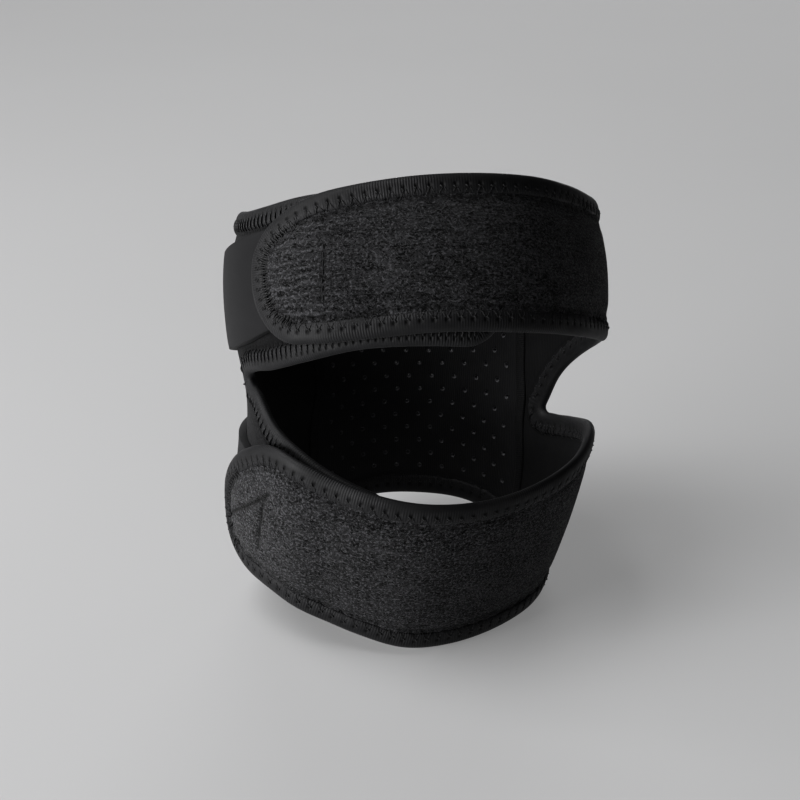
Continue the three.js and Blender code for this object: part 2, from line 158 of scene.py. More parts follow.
UPPER_BAND = [
    (-124, 78.5, 108, BAND_LIFT),
    (-90, 79, 109, BAND_LIFT),
    (-63, 80.6, 109.5, BAND_LIFT),
    (-45, 84, 110, BAND_LIFT),
    (-29, 86.5, 110, BAND_LIFT),
]
UPPER_BAND_ENDS = [End(-124, 86, 100, -114, -114), End(-29, 92, 102, -37, -37)]
LOWER_BAND = [
    (-124, 22, 52.5, BAND_LIFT),
    (-72, 22, 52.5, BAND_LIFT),
    (-42, 22, 48, BAND_LIFT),
]
LOWER_BAND_ENDS = [End(-124, 30, 45, -114, -114), End(-42, 30, 40, -50, -50)]

# A band's rounded rims, the angle in radians that tells a rim, and how far its inner face sinks in the wing
BAND_ROUNDING = 0.8
RIM_ANGLE = 1
BAND_SUNK = 0.2

# Back panel: share of its width from right to left, climb of its lower and upper edge; and its flat width
BACK = [
    (0, 4, 122.5),
    (0.25, 7.8, 121.8),
    (0.5, 8.3, 121),
    (0.75, 7.8, 120.2),
    (1, 4, 119.5),
]
BACK_FLAT_WIDTH = 74

# Perforations of the back panel: the cut foam swells into each, which leaves it a narrow waist
HOLE_RADIUS = 0.8
HOLE_WAIST = 0.1
HOLE_ROWS = 14
HOLES_IN_LONG_ROW = 9
HOLE_PITCH = 8
HOLE_ROW_PITCH = 4.6
HOLE_FIRST_ROW = 9.5
HOLE_CORNER = 1.08 * HOLE_RADIUS
BACK_BORDER = 3

# Fineness of the cloth: degrees in a column, columns round an end, rows across an arm, finer columns beside
# a fork, steps along the back panel's edges, and the small step that slopes and lengths are read by
COLUMN_STEP = 1.0
END_COLUMNS = 60
ARM_ROWS = 48
NOTCH = 4
NOTCH_STEP = 0.35
BACK_STEPS = 60
SMALL_STEP = 0.05

# Tape: spacing of its stops, times that they are evened out, its wall, its pucker between stitches, and its
# outer skin as reach in from the cut edge and offset from the inner face
TAPE_STOP = 0.8
EVENED = 3
TAPE_WALL = 0.35
PUCKER = 0.08
TAPE_SKIN = [
    (5.7, 2.1),
    (5.4, 2.5),
    (4.7, 2.86),
    (3.5, 3.04),
    (2.2, 3.1),
    (1.1, 3.04),
    (0.3, 2.8),
    (-0.35, 2.35),
    (-0.72, 1.8),
    (-0.8, 1.3),
    (-0.72, 0.8),
    (-0.35, 0.25),
    (0.3, -0.2),
    (1.1, -0.44),
    (2.2, -0.5),
    (3.5, -0.46),
    (4.7, -0.38),
    (5.45, -0.12),
    (5.7, 0.3),
]
FOLD_ROW = len(TAPE_SKIN) // 2

# How far the stitching presses the cloth's outer face in beside the tape, the share of that on the inner
# face, the reaches between which it swells to full again, and those of the groove and needle holes in it
PRESSED = 0.55
INNER_PRESS = 0.6
PRESS_STARTS = 6.4
PRESS_ENDS = 12
GROOVE_AT = 6.9
HOLES_AT = 6.6

# Soft waves of foam-backed cloth as grain and height, the shares of them on an inner face and on a band, and
# the reaches between which they grow
WAVES = [(13, 0.1), (34, 0.22)]
INNER_WAVES = 0.6
BAND_WAVES = 0.5
WAVES_START = 5
WAVES_FULL = 14

# Loop pile that stands up in a row beside the tape: its grain, mean lift, height and width
TUFT_GRAIN = 2.3
TUFT_LIFT = 0.1
TUFT_HEIGHT = 0.6
TUFT_WIDTH = 1.5

# Seeds that set each face's waves and tufts apart
OUTER_SEED = 0
INNER_SEED = 50
TUFT_SEED = 70
BAND_SEED = 90

# Stitching: pitch, reach of its outer and inner needle holes, slant as a share of its pitch, radius of its
# thread and height of its arch. Straps are sewn in zigzag with knots at its outer holes, and have a second,
# closer zigzag round their tips, bar tacks below the crotch and a running line in the upper end. Wings are
# overcast. The back is sewn in zigzag, and its seams in flatlock outside and topstitching inside
Stitch = namedtuple("Stitch", "pitch outer inner slant thread arch")
ZIGZAG = Stitch(3.7, 3.2, 6.6, 0.5, 0.17, 0.16)
KNOT = Stitch(3.7, 3.9, 3.1, 0.24, 0.25, 0.3)
TIP_ZIGZAG = Stitch(2.3, 3.0, 7.6, 0.5, 0.2, 0.3)
OVERCAST = Stitch(2.2, 1.7, 6.4, 0.2, 0.3, 0.45)
FLATLOCK = Stitch(2.6, -2.1, 2.1, 0.5, 0.22, 0.25)
TOPSTITCH = Stitch(2.6, 1.5, 1.5, 0.62, 0.14, 0.12)
RUNNING = Stitch(2.4, 0.0, 0.0, 0.68, 0.2, 0.22)
BAR_TACK = Stitch(1.7, 2.4, 6.4, 0.35, 0.24, 0.3)

# Where the closer zigzag and the bar tacks lie on the straps' edge: angles, and the least climb of a tack
UPPER_TIP_FROM = -36
LOWER_TIP_FROM = -68
TACKS_FROM = 116
TACKS_TO = 128
LOWEST_TACK = 20

# Unevenness of the sewing, at outer needle holes along their row and elsewhere. How far a stitch's ends and
# a running line sink into the cloth. A thread's sides, and the shares of a stitch at which it is shaped
OUTER_UNEVEN = 0.25
UNEVEN = 0.3
STITCH_SUNK = 0.15
LINE_SUNK = 0.1
THREAD_SIDES = 5
STATIONS = [0, 0.1, 0.3, 0.5, 0.7, 0.9, 1]

# Strip over each back seam's inner face, as reach from the seam and offset; and the offset of its stitching
SEAM_STRIP = [
    (-0.5, 0.15),
    (-0.4, -0.3),
    (0.3, -0.46),
    (1.5, -0.5),
    (2.5, -0.44),
    (2.95, -0.25),
    (3.05, 0.2),
]
STRIP_SEWN_AT = -0.42

# How far a back seam presses the cloth in, the distances from it between which the cloth swells to full
# again, and how far the seam's strip and stitching stop short of the bound edges
SEAM_PRESSED = 0.4
SEAM_FLAT = 0.5
SEAM_WIDTH = 4.5
SEAM_MARGIN = 7

# Lines sewn through the strap ends, as angle and climb, and how deep each one presses the cloth
UPPER_SEWN_LINE = [(-25.6, 103), (-25.7, 98), (-26, 93), (-26.2, 88.5)]
SEWN_LINES = [
    (0.15, UPPER_SEWN_LINE),
    (0.5, [(-77.5, 28.5), (-66, 35.6), (-57.5, 40.5), (-47.8, 46.3)]),
    (0.5, [(-49.6, 45.2), (-50.6, 39), (-52.3, 29)]),
]
SEWN_WIDTH = 0.6


class SmoothTable:
    """A smooth curve through a table's rows, read along the first column."""

    def __init__(self, rows):
        self.rows = sorted(rows)
        self.places = [row[0] for row in self.rows]
        slopes = [self.slope(row, after) for row, after in zip(self.rows, self.rows[1:])]
        before = slopes[:1] + slopes
        behind = slopes + slopes[-1:]
        self.slopes = [[(a + b) / 2 for a, b in zip(*sides)] for sides in zip(before, behind)]

    @staticmethod
    def slope(row, after):
        return [(b - a) / (after[0] - row[0]) for a, b in zip(row[1:], after[1:])]

    def __call__(self, place):
        place = min(max(place, self.places[0]), self.places[-1])
        left = min(bisect_right(self.places, place), len(self.places) - 1) - 1
        start, *before = self.rows[left]
        end, *after = self.rows[left + 1]
        span = end - start
        t = (place - start) / span
        t2 = t * t
        t3 = t2 * t
        rise = 3 * t2 - 2 * t3
        leaving = (t3 - 2 * t2 + t) * span
        arriving = (t3 - t2) * span
        tangents = zip(self.slopes[left], self.slopes[left + 1])
        return [
            a + (b - a) * rise + leaving * m + arriving * n
            for a, b, (m, n) in zip(before, after, tangents)
        ]


def smoothstep(low, high, value):
    share = min(max((value - low) / (high - low), 0), 1)
    return share * share * (3 - 2 * share)


def lerp(a, b, share):
    return a + (b - a) * share


ring_at = SmoothTable(RINGS)

# The leg's axis, walked up in steps of one millimetre
AXIS_STEPS = 140
AXIS = [(0.0, 0.0)]
for step in range(AXIS_STEPS):
    step_lean = math.radians(ring_at(step + 0.5)[0])
    AXIS.append((AXIS[-1][0] + math.sin(step_lean), AXIS[-1][1] + math.cos(step_lean)))


def leg_point(angle, climb, offset):
    """A point beside the leg: angle round it, climb up it, offset out from the inner face."""
    lean, half_width, half_depth, shift, _ = ring_at(climb)
    step = int(climb)
    axis_y = lerp(AXIS[step][0], AXIS[step + 1][0], climb - step)
    axis_z = lerp(AXIS[step][1], AXIS[step + 1][1], climb - step)
    turn = math.radians(angle)
    lean = math.radians(lean)
    out_side = math.sin(turn) / half_width
    out_front = math.cos(turn) / half_depth
    length = math.hypot(out_side, out_front)
    side = half_width * math.sin(turn) + offset * out_side / length
    front = half_depth * math.cos(turn) + offset * out_front / length
    y = AXIS_Y + axis_y - front * math.cos(lean)
    return Vector((AXIS_X + shift + side, y, axis_z + front * math.sin(lean))) * MM


def round_leg(degrees, radius=FLAT_RADIUS):
    """The length of an angle round the leg."""
    return math.radians(degrees) * radius


def strap_slant(column, climb):
    """The strap panel's columns slant with the right back seam, less and less towards the front."""
    share = min(max((column - SLANT_ENDS) / (STRAP_CROTCH.angle - SLANT_ENDS), 0), 1)
    return column + share * (ring_at(climb)[4] - RIGHT_SEAM)


def no_slant(column, climb):
    return column


class Arm:
    """A strap, wing or band that lies round the leg. Behind its fork, one edge keeps the fork's climb."""

    def __init__(self, edges, ends, slant=no_slant, fork=None, forked_edge=0):
        self.read = SmoothTable(edges)
        self.ends = ends
        self.slant = slant
        self.fork = fork
        self.forked_edge = forked_edge

    def at(self, column):
        """Climb of the lower and upper edge, and lift of the inner face."""
        low, high, lift = self.read(column)
        low = max(low, FLOOR_EDGE)
        for end in self.ends:
            low = self.rounded(low, end.low, end.low_from, end.angle, column)
            high = self.rounded(high, end.high, end.high_from, end.angle, column)
        climbs = [low, high]
        if self.fork and abs(column) >= abs(self.fork.angle):
            climbs[self.forked_edge] = self.fork.climb
        return (*climbs, lift)

    @staticmethod
    def rounded(straight, tip, start, end, column):
        share = (column - start) / (end - start)
        if share <= 0:
            return straight
        return tip + (straight - tip) * math.sqrt(max(0, 1 - share * share))

    def lift_slope(self, column):
        return (self.read(column + SMALL_STEP)[2] - self.read(column)[2]) / SMALL_STEP


def even(first, last, step):
    """Even angles from first up to, but not with, last."""
    count = max(1, math.ceil(abs(last - first) / step))
    return [first + (last - first) * k / count for k in range(count)]


def rounded_columns(end):
    """Angles round an arm's end, closer together at its tip, and the angle where the rounding starts."""
    first = min if end.angle > end.low_from else max
    start = first(end.low_from, end.high_from)
    turns = [math.sin(math.pi / 2 * k / END_COLUMNS) for k in range(1, END_COLUMNS + 1)]
    return [start + (end.angle - start) * turn for turn in turns], start


def forked_columns(arm, root):
    fork = arm.fork.angle
    tip, start = rounded_columns(arm.ends[0])
    notch = fork + math.copysign(NOTCH, start - fork)
    columns = tip + even(start, notch, COLUMN_STEP) + even(notch, fork, NOTCH_STEP)
    return sorted(columns + even(fork, root, COLUMN_STEP) + [root])


def free_columns(arm, columns):
    """An arm's columns from its fork to its tip."""
    return [column for column in columns if abs(column) <= abs(arm.fork.angle)]


def band_columns(arm):
    left, left_start = rounded_columns(arm.ends[0])
    right, right_start = rounded_columns(arm.ends[1])
    return sorted(left + even(left_start, right_start, COLUMN_STEP) + [right_start] + right)


Stop = namedtuple("Stop", "angle climb lift slope")


def arm_stops(arm, columns, edge):
    """Stops along an arm's lower edge, 0, or upper edge, 1, from left to right."""
    stops = []
    for column in columns:
        reading = arm.at(column)
        climb = reading[edge]
        stops.append(Stop(arm.slant(column, climb), climb, reading[2], arm.lift_slope(column)))
    return stops


class BoundEdge:
    """A cut edge as even stops along it. The cloth is on its left, seen from outside."""

    def __init__(self, stops, stitch):
        self.stitch = stitch
        points = [leg_point(s.angle, s.climb, s.lift) for s in stops]
        walked = [0.0]
        for a, b in zip(points, points[1:]):
            walked.append(walked[-1] + (b - a).length / MM)
        self.length = walked[-1]
        count = round(self.length / TAPE_STOP)
        self.spacing = self.length / count
        self.stops = []
        for k in range(count + 1):
            along = k * self.spacing
            left = min(bisect_right(walked, along), len(walked) - 1) - 1
            share = (along - walked[left]) / max(walked[left + 1] - walked[left], 1e-9)
            self.stops.append(Stop(*(lerp(a, b, share) for a, b in zip(stops[left], stops[left + 1]))))
        for _ in range(EVENED):
            inner = zip(self.stops, self.stops[1:], self.stops[2:])
            smooth = [Stop(*((a + 2 * b + c) / 4 for a, b, c in zip(*three))) for three in inner]
            self.stops = self.stops[:1] + smooth + self.stops[-1:]
        self.steps = [self.inward(k) for k in range(len(self.stops))]

    def inward(self, k):
        """The inward direction at a stop, as degrees and climb for each millimetre."""
        here = self.stops[k]
        before = self.stops[max(0, k - 2)]
        after = self.stops[min(len(self.stops) - 1, k + 2)]
        point = leg_point(here.angle, here.climb, here.lift)
        per_degree = (leg_point(here.angle + SMALL_STEP, here.climb, here.lift) - point) / SMALL_STEP
        per_climb = (leg_point(here.angle, here.climb + SMALL_STEP, here.lift) - point) / SMALL_STEP
        behind = leg_point(before.angle, before.climb, here.lift)
        forward = leg_point(after.angle, after.climb, here.lift) - behind
        inward = per_degree.cross(per_climb).cross(forward).normalized() * MM
        aa = per_degree.dot(per_degree)
        ab = per_degree.dot(per_climb)
        bb = per_climb.dot(per_climb)
        ia = inward.dot(per_degree)
        ib = inward.dot(per_climb)
        area = aa * bb - ab * ab
        return (ia * bb - ib * ab) / area, (ib * aa - ia * ab) / area

    def at(self, k, reach, offset):
        stop = self.stops[k]
        turned, climbed = (step * reach for step in self.steps[k])
        climb = max(0, stop.climb + climbed)
        return leg_point(stop.angle + turned, climb, stop.lift + turned * stop.slope + offset)

    def point(self, along, reach, offset):
        """A point at a distance along the edge, in from it, and out from the cloth's inner face."""
        place = min(max(along / self.spacing, 0), len(self.stops) - 1)
        k = min(int(place), len(self.stops) - 2)
        return self.at(k, reach, offset).lerp(self.at(k + 1, reach, offset), place - k)

    def tree(self):
        tree = KDTree(len(self.stops))
        for k, stop in enumerate(self.stops):
            tree.insert(leg_point(stop.angle, stop.climb, stop.lift), k)
        tree.balance()
        return tree


def pressed(reach):
    """How far the cloth's face lies below its full thickness, at a distance from its cut edge."""
    return PRESSED * (1 - smoothstep(PRESS_STARTS, PRESS_ENDS, reach))


def seam_pressed(from_seam):
    """The same, at a distance from a back seam."""
    return SEAM_PRESSED * (1 - smoothstep(SEAM_FLAT, SEAM_WIDTH, from_seam))


outer_skin = SmoothTable(TAPE_SKIN[:FOLD_ROW + 1])
inner_skin = SmoothTable(TAPE_SKIN[FOLD_ROW:])


def face_offset(reach, outer):
    """Offset of what shows at a distance from a bound edge: the tape's skin, then the cloth."""
    if reach < TAPE_SKIN[0][0]:
        return (outer_skin if outer else inner_skin)(reach)[0]
    return CLOTH - pressed(reach) if outer else pressed(reach) * INNER_PRESS


# Materials


class Shade:
    """One output of a finish's nodes. Sums and products of shades add Math nodes."""

    def __init__(self, finish, socket):
        self.finish = finish
        self.socket = socket

    def math(self, operation, *values):
        return self.finish.node("ShaderNodeMath", {"operation": operation}, dict(enumerate(values)))

    def __add__(self, other):
        return self.math("ADD", self, other)

    def __radd__(self, other):
        return self.math("ADD", other, self)

    def __sub__(self, other):
        return self.math("SUBTRACT", self, other)

    def __rsub__(self, other):
        return self.math("SUBTRACT", other, self)

    def __mul__(self, other):
        return self.math("MULTIPLY", self, other)

    def __rmul__(self, other):
        return self.math("MULTIPLY", other, self)

    def __truediv__(self, other):
        return self.math("DIVIDE", self, other)

    def __pow__(self, other):
        return self.math("POWER", self, other)

    def sine(self):
        return self.math("SINE", self)

    def size(self):
        return self.math("ABSOLUTE", self)

    def held(self):
        """This value, held between 0 and 1."""
        return self.finish.node("ShaderNodeClamp", None, {"Value": self})

    def hill(self, middle, width):
        """1 where this value is the middle, falling off smoothly either side."""
        away = (self - middle) / width
        return self.math("EXPONENT", (away * away) * -1)


class Finish:
    """A material of nodes that feed one Principled shader."""

    def __init__(self, name, constants):
        self.material = bpy.data.materials.new(name)
        self.material.use_nodes = True
        self.tree = self.material.node_tree
        self.shader = self.tree.nodes["Principled BSDF"]
        for socket, value in constants.items():
            self.shader.inputs[socket].default_value = value

    def node(self, kind, settings=None, inputs=None, output=0):
        """A new node: its settings first, then its sockets' values or links."""
        node = self.tree.nodes.new(kind)
        for name, value in (settings or {}).items():
            setattr(node, name, value)
        for name, value in (inputs or {}).items():
            self.feed(node.inputs[name], value)
        return Shade(self, node.outputs[output])

    def feed(self, socket, value):
        if isinstance(value, Shade):
            self.tree.links.new(value.socket, socket)
        else:
            socket.default_value = value

    def shade(self, **shades):
        """Feeds the shader's sockets, such as Base Color, Roughness and Normal."""
        for name, value in shades.items():
            self.feed(self.shader.inputs[name.replace("_", " ").title()], value)

    def uv(self):
        return self.node("ShaderNodeUVMap", {"uv_map": "cloth"})

    def part(self, uv, axis):
        return self.node("ShaderNodeSeparateXYZ", None, {"Vector": uv}, axis)

    def reading(self, name):
        return self.node("ShaderNodeAttribute", {"attribute_name": name}, None, "Fac")

    def speckle(self, scale, detail):
        """Noise in the solid, with that many grains to a metre."""
        place = self.node("ShaderNodeTexCoord", None, None, "Object")
        return self.node("ShaderNodeTexNoise", None, {"Vector": place, "Scale": scale, "Detail": detail})

    def grain(self, uv, along, up, detail=3.0, roughness=0.55, distortion=0.0):
        """Noise with grains of that size in millimetres along and up the cloth."""
        scaled = self.node(
            "ShaderNodeVectorMath",
            {"operation": "MULTIPLY"},
            {0: uv, 1: (1 / (along * MM), 1 / (up * MM), 1)},
        )
        inputs = {"Vector": scaled, "Scale": 1.0, "Detail": detail}
        inputs.update({"Roughness": roughness, "Distortion": distortion})
        return self.node("ShaderNodeTexNoise", {"noise_dimensions": "2D"}, inputs)

    def ribs(self, place, period, sway):
        """Swaying ribs from 0 to 1, a period apart in millimetres."""
        return (place * (2 * math.pi / period) + sway).sine() * 0.5 + 0.5

    def ridge(self, noise_shade, sharpness):
        """Thin winding lines where noise passes its middle."""
        return (1 - (noise_shade - 0.5).size() * sharpness).held()

    def tint(self, share, dark, light):
        """A colour between two, by the Mix node's sockets for colours."""
        return self.node(
            "ShaderNodeMix",
            {"data_type": "RGBA"},
            {0: share, 6: (*dark, 1), 7: (*light, 1)},
            2,
        )

    def bump(self, height, depth, strength=1.0):
        """A surface raised by a height from 0 to 1 that stands for a depth in millimetres."""
        return self.node(
            "ShaderNodeBump",
            None,
            {"Strength": strength, "Distance": depth * MM, "Height": height},
        )


def grey(value, blue=1.06):
    return value, value, value * blue


def fabric(name, sheen, sheen_roughness, specular):
    """A finish with the soft sheen of cloth or thread."""
    constants = {"Sheen Weight": sheen, "Sheen Roughness": sheen_roughness, "Specular IOR Level": specular}
    return Finish(name, constants)


# Needle holes: width, sharpness of their rims, and the share of a stitch at which outer and inner ones lie
NEEDLE_WIDTH = 0.65
NEEDLE_SHARPNESS = 4.5
AT_OUTER = 0
AT_INNER = 0.5


def needle_holes(reach, reach_at, phase, phase_at):
    """1 in the needle holes of a row of stitching."""
    turn = ((phase - phase_at) * math.pi).sine()
    beside = turn * turn
    return reach.hill(reach_at, NEEDLE_WIDTH) * (1 - beside).held() ** NEEDLE_SHARPNESS


# Periods of the upper strap end's combed loops, of the knits' wales and courses, and of the tape's ribs
COMBED_LOOP = 2.2
WALE = 0.7
COURSE = 0.5
TAPE_RIB = 0.8

# Where the strap's loops change: combed left of one place on the flat cloth, with brighter painted glints
# below another
COMBED_FROM = -16
GLINTS_BRIGHTER_BELOW = 66
THREAD_TWISTS = 5


def loop_pile():
    """Brushed loop cloth of the straps: short curled fibres, combed along the upper strap's end."""
    finish = fabric("strap_loop_pile", sheen=0.12, sheen_roughness=0.4, specular=0.3)
    finish.shade(diffuse_roughness=1.0)
    uv = finish.uv()
    reach = finish.reading("reach_mm")
    along = finish.part(uv, "X") / MM
    up = finish.part(uv, "Y") / MM
    curl = finish.ridge(finish.grain(uv, 1.6, 1.1, 2, 0.5, 1.4), 15)
    sway = finish.grain(uv, 11, 6, 2) * 1.6 + finish.grain(uv, 3, 1.6, 1) * 0.5
    fibre = (((up / COMBED_LOOP + sway) * (2 * math.pi)).sine() * 1.4 - 0.3).held()
    gap = finish.ridge(finish.grain(uv, 2.4, 0.95, 1, 0.5, 0.9), 12)
    speck = finish.grain(uv, 0.85, 0.55, 1, 0.5, 0.4)
    # Bright specks in the pile's colour are painted glints on its fibres, painted brighter below a set
    # height.
    glint = ((speck - 0.55) * 9).held()
    streak = finish.grain(uv, 18, 1.3, 2)
    worn = finish.grain(uv, 16, 11, 3)
    combed = ((up - BETWEEN_STRAPS) * 0.2).held() * ((COMBED_FROM - along) * 0.08).held()
    groove = reach.hill(GROOVE_AT + 0.1, 0.5) * (speck * 2 - 0.4).held()
    holes = needle_holes(reach, HOLES_AT, finish.reading("stitch_phase"), AT_INNER)
    sewn = (finish.reading("sewn") * 2.6).held()
    loops = curl + (fibre - curl) * combed * 0.5
    painted_glints = glint * (0.5 + ((GLINTS_BRIGHTER_BELOW - up) * 0.1).held() * 0.3)
    # The loop lines and gaps are the pile's grain, and are also painted: painted highlights on the loops,
    # painted shade in the gaps between them.
    pile = 0.24 + loops * 0.5 - gap * 0.4 + painted_glints + (streak - 0.5) * 0.4
    # The groove beside the tape, the needle holes and the sewn lines are darkened in colour: painted shade
    # in these recesses.
    painted_shade = (groove * 0.5 + holes * 0.5 + sewn * 0.9).held()
    lit = (pile + (worn - 0.5) * 0.3).held() * (1 - painted_shade)
    finish.shade(
        base_color=finish.tint(lit, grey(0.003), grey(0.14)),
        roughness=0.92 - lit * 0.25,
        normal=finish.bump(pile - groove * 0.5 - holes * 0.8 - sewn * 0.8, 0.5, 0.9),
    )
    return finish.material


def wing_knit():
    """Smoother brushed knit of the wings' outer face."""
    finish = fabric("wing_brushed_knit", sheen=0.1, sheen_roughness=0.5, specular=0.25)
    uv = finish.uv()
    reach = finish.reading("reach_mm")
    nap = finish.grain(uv, 0.9, 0.6, 3, 0.6, 0.6)
    worn = finish.grain(uv, 14, 10, 3)
    groove = reach.hill(GROOVE_AT, 0.6)
    holes = needle_holes(reach, HOLES_AT, finish.reading("stitch_phase"), AT_INNER)
    # The groove beside the tape and the needle holes are darkened in colour: painted shade.
    lit = ((nap - 0.3) * 1.2 + (worn - 0.5) * 0.4).held() * (1 - (groove * 0.6 + holes * 0.6).held())
    finish.shade(
        base_color=finish.tint(lit, grey(0.006), grey(0.04)),
        roughness=0.9 - lit * 0.15,
        normal=finish.bump(nap - groove * 0.9 - holes * 0.8, 0.3, 0.8),
    )
    return finish.material


def lining_knit(name, light):
    """Smooth jersey of the faces towards the leg: fine upright wales and crossing courses."""
    finish = fabric(name, sheen=0.05, sheen_roughness=0.4, specular=0.3)
    uv = finish.uv()
    wander = finish.grain(uv, 5, 9, 2) * 1.2
    wale = finish.ribs(finish.part(uv, "X") / MM, WALE, wander)
    course = finish.ribs(finish.part(uv, "Y") / MM, COURSE, wander * 2)
    worn = finish.grain(uv, 12, 12, 3)
    groove = finish.reading("reach_mm").hill(GROOVE_AT, 0.6)
    knit = wale * 0.7 + course * 0.3 * wale
    # The groove beside the tape is darkened in colour: painted shade.
    lit = (knit * 0.5 + worn * 0.6 - 0.1).held() * (1 - groove * 0.5)
    finish.shade(
        base_color=finish.tint(lit, grey(light * 0.35), grey(light)),
        roughness=0.72 - knit * 0.12,
        normal=finish.bump(knit - groove * 1.2, 0.12, 0.6),
    )
    return finish.material


def cut_foam():
    """Foam that shows on the walls of the perforations: fine open cells."""
    finish = Finish("cut_foam", {"Specular IOR Level": 0.4})
    cells = finish.speckle(6000.0, 2.0)
    finish.shade(
        base_color=finish.tint(cells, grey(0.04), grey(0.18)),
        roughness=0.75 - cells * 0.3,
        normal=finish.bump(cells, 0.08, 0.8),
    )
    return finish.material


def band_knit():
    """Smooth matt knit of the fastening bands."""
    finish = fabric("band_matt_knit", sheen=0.08, sheen_roughness=0.55, specular=0.2)
    uv = finish.uv()
    fine = finish.grain(uv, 0.45, 0.45, 2, 0.6)
    worn = finish.grain(uv, 18, 9, 3)
    lit = (fine * 0.45 + worn * 0.8 - 0.15).held()
    finish.shade(
        base_color=finish.tint(lit, grey(0.014), grey(0.026)),
        roughness=0.86 - fine * 0.1,
        normal=finish.bump(fine, 0.08, 0.7),
    )
    return finish.material


def binding_tape(name, pierced_at):
    """Smooth binding tape with fine ribs across it, lighter and smoother along its fold and pierced by the
    stitching.
    """
    finish = fabric(name, sheen=0.08, sheen_roughness=0.35, specular=0.4)
    uv = finish.uv()
    rib = finish.ribs(finish.part(uv, "X") / MM, TAPE_RIB, finish.grain(uv, 9, 3, 2) * 2.2)
    loud = ((finish.grain(uv, 30, 8, 2) - 0.42) * 5).held()
    worn = finish.grain(uv, 7, 2.5, 3)
    reach = finish.reading("reach_mm")
    holes = needle_holes(reach, pierced_at, finish.reading("stitch_phase"), AT_OUTER)
    fold = reach.hill(-0.6, 1.0)
    fuzz = finish.grain(uv, 0.7, 0.7, 2, 0.6) * ((reach - 2.6) * 0.6).held()
    ribbed = rib * (0.25 + loud * 0.75)
    bright = 0.24 + ribbed * 0.34 + worn * 0.4 + fold * 0.15 + (fuzz - 0.3) * 0.4
    # The needle holes are darkened in colour: painted shade in the pits.
    lit = bright.held() * (1 - holes * 0.9)
    finish.shade(
        base_color=finish.tint(lit, grey(0.004), grey(0.042)),
        roughness=0.7 - worn * 0.15 - fold * 0.05 + holes * 0.2,
        normal=finish.bump(ribbed * 0.4 + fuzz * 0.6 - holes * 1.6, 0.3, 0.8),
    )
    return finish.material


def sewing_thread():
    """Twisted thread of the stitching."""
    finish = fabric("sewing_thread", sheen=0.2, sheen_roughness=0.3, specular=0.5)
    uv = finish.uv()
    along = finish.part(uv, "X")
    round_it = finish.part(uv, "Y")
    twist = ((along * THREAD_TWISTS + round_it) * (2 * math.pi)).sine() * 0.5 + 0.5
    finish.shade(
        base_color=finish.tint(twist, grey(0.008), grey(0.03)),
        roughness=0.6 - twist * 0.15,
        normal=finish.bump(twist, 0.06, 0.8),
    )
    return finish.material


def pale_floor():
    """Pale floor that glows a little, as a lit table top does, so that it stays pale all round."""
    glow = {"Emission Color": (1, 1, 1, 1), "Emission Strength": 0.17}
    finish = Finish("pale_floor", {"Specular IOR Level": 0.2, **glow})
    mottle = finish.speckle(3.0, 3.0)
    finish.shade(
        base_color=finish.tint(mottle, grey(0.38, 1.01), grey(0.42, 1.01)),
        roughness=0.8 - mottle * 0.1,
    )
    return finish.material


PILE = loop_pile()
WING = wing_knit()
LINING = lining_knit("lining_knit", 0.026)
BACK_KNIT = lining_knit("back_knit", 0.036)
CUT_FOAM = cut_foam()
BAND_KNIT = band_knit()
TAPE = binding_tape("binding_tape", ZIGZAG.outer - 0.3)
WING_TAPE = binding_tape("wing_binding_tape", OVERCAST.outer)
SEWING = sewing_thread()


# Making pieces


def finished(bm, name, materials, nodes=()):
    """A piece from its mesh: placed, smooth, with its materials, on the brace's one body."""
    mesh = bpy.data.meshes.new(name)
    bm.to_mesh(mesh)
    bm.free()
    mesh.shade_smooth()
    for material in materials:
        mesh.materials.append(material)
    piece = bpy.data.objects.new(name, mesh)
    bpy.context.scene.collection.objects.link(piece)
    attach(piece, "root")
    if nodes:
        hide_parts(*nodes)
    return piece


def cloth_grid(bm, columns, rows, place):
    """A grid of cloth, laid by a function of its column and its share across."""
    made = bmesh.ops.create_grid(bm, x_segments=len(columns) - 1, y_segments=rows, size=0.5)["verts"]
    for vert in made:
        column = columns[round((vert.co.x + 0.5) * (len(columns) - 1))]
        vert.co = place(column, vert.co.y + 0.5)


def arm_grid(bm, arm, columns):
    """An arm's cloth laid flat: column, climb and lift."""

    def place(column, share):
        low, high, lift = arm.at(column)
        return column, lerp(low, high, share), lift

    cloth_grid(bm, columns, ARM_ROWS, place)


def sewn_depth(angle, climb):
    """How far a line sewn through a strap end presses the cloth here, in millimetres."""
    here = Vector((round_leg(angle, STRAP_END_RADIUS), climb))
    deepest = 0.0
    for depth, line in SEWN_LINES:
        points = [Vector((round_leg(turn, STRAP_END_RADIUS), height)) for turn, height in line]
        for a, b in zip(points, points[1:]):
            share = min(max((here - a).dot(b - a) / (b - a).length_squared, 0), 1)
            away = (here - a.lerp(b, share)).length
            deepest = max(deepest, depth * math.exp(-(away / SEWN_WIDTH) ** 2))
    return deepest


def wave(angle, climb, seed):
    """Soft unevenness of foam-backed cloth, in millimetres."""
    place = Vector((round_leg(angle), climb, seed))
    return sum(noise.noise(place / grain) * height for grain, height in WAVES)


def tuft(angle, climb, reach):
    """Loop pile that stands up unevenly beside the tape's border, in millimetres."""
    place = Vector((round_leg(angle), climb, TUFT_SEED))
    height = TUFT_LIFT + noise.noise(place / TUFT_GRAIN) * TUFT_HEIGHT
    return height * math.exp(-((reach - PRESS_STARTS) / TUFT_WIDTH) ** 2)


def doubled(bm):
    """Gives flat cloth a second face and a UV map, and returns the points of its outer face."""
    uv = bm.loops.layers.uv.new("cloth")
    made = bmesh.ops.extrude_face_region(bm, geom=bm.faces[:])["geom"]
    for face in bm.faces:
        for loop in face.loops:
            column, climb, _ = loop.vert.co
            loop[uv].uv = (round_leg(column) * MM, climb * MM)
    return {part for part in made if isinstance(part, bmesh.types.BMVert)}


